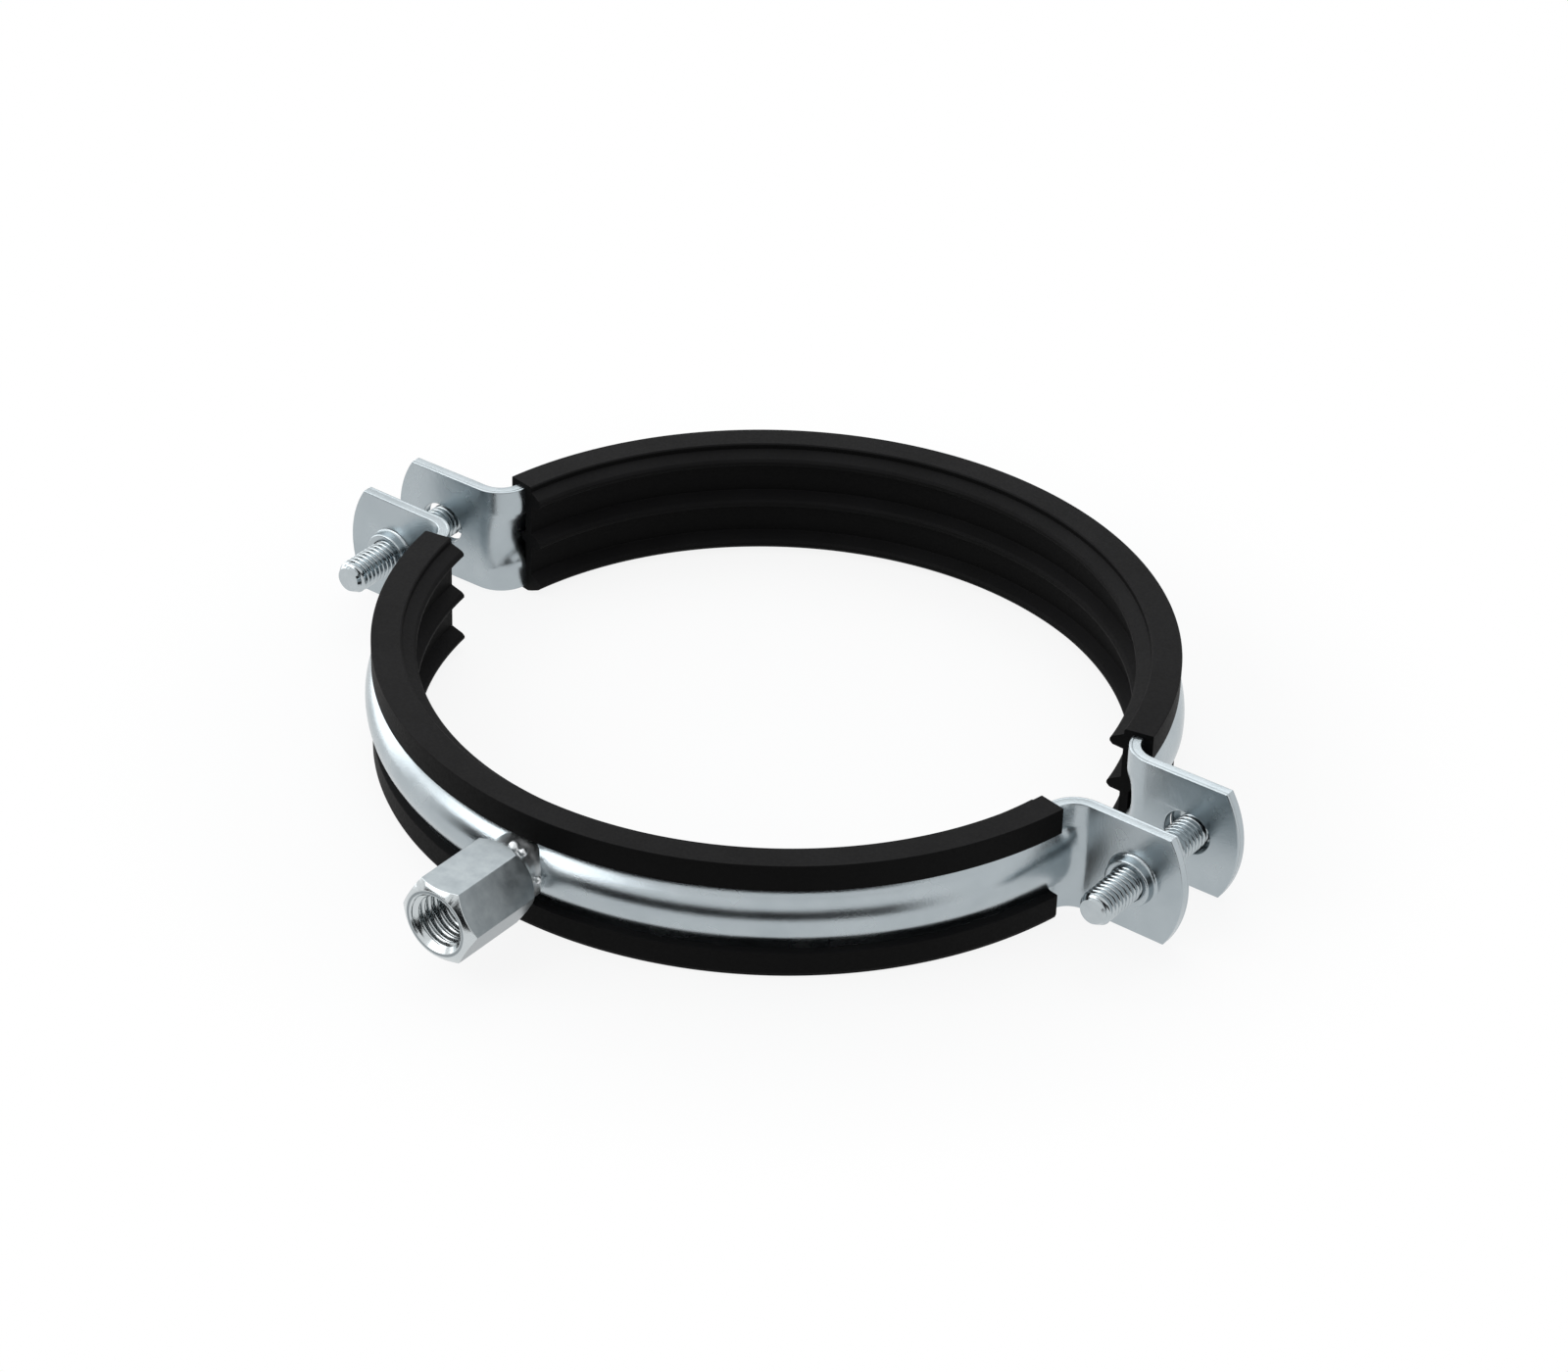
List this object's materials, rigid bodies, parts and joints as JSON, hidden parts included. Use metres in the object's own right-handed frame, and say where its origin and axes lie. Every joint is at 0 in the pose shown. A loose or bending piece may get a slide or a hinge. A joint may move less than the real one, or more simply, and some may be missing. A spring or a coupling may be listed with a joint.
{
  "type": "pipe clamp",
  "caption": "Lined steel pipe clamp in halves, with a bead pressed along the strip, screwed ears and a welded hexagon connection nut.",
  "frame": {"origin": "middle of the pipe bore, on its axis and halfway across the strip", "axes": "+Z along the pipe axis, +X to the right-hand ears, -Y out through the connection nut"},
  "size_m": [0.1729, 0.1553, 0.0214],
  "materials": {
    "zinc_strip": "bright zinc plate, satin",
    "rubber_lining": "matt black extruded rubber",
    "zinc_nut": "zinc plate over machined steel, duller than the strip",
    "weld_metal": "plated weld metal with small bright beads",
    "zinc_screw": "bright zinc plate, rolled thread"
  },
  "bodies": {
    "base": {"base_band": "zinc_strip", "base_lining": "rubber_lining", "connection_nut": "zinc_nut", "nut_weld": "weld_metal"},
    "cap": {"cap_band": "zinc_strip", "cap_lining": "rubber_lining"},
    "screw_right_body": {"screw_right": "zinc_screw"},
    "screw_left_body": {"screw_left": "zinc_screw"}
  },
  "joints": [
    {"name": "cap_slide", "type": "slide", "parent": "base", "child": "cap", "axis": [0, 1, 0], "range_m": [-0.0105, 0.012]},
    {"name": "screw_right_turn", "type": "hinge", "parent": "cap", "child": "screw_right_body", "pos_m": [0.0771, 0, 0], "axis": [0, 1, 0], "range_deg": [-3781, 4321]},
    {"name": "screw_left_turn", "type": "hinge", "parent": "cap", "child": "screw_left_body", "pos_m": [-0.0771, 0, 0], "axis": [0, 1, 0], "range_deg": [-3781, 4321]}
  ],
  "couplings": [
    {"joint": "screw_right_turn", "follows": "cap_slide", "rad_per_m": 6283.2},
    {"joint": "screw_left_turn", "follows": "cap_slide", "rad_per_m": 6283.2}
  ]
}
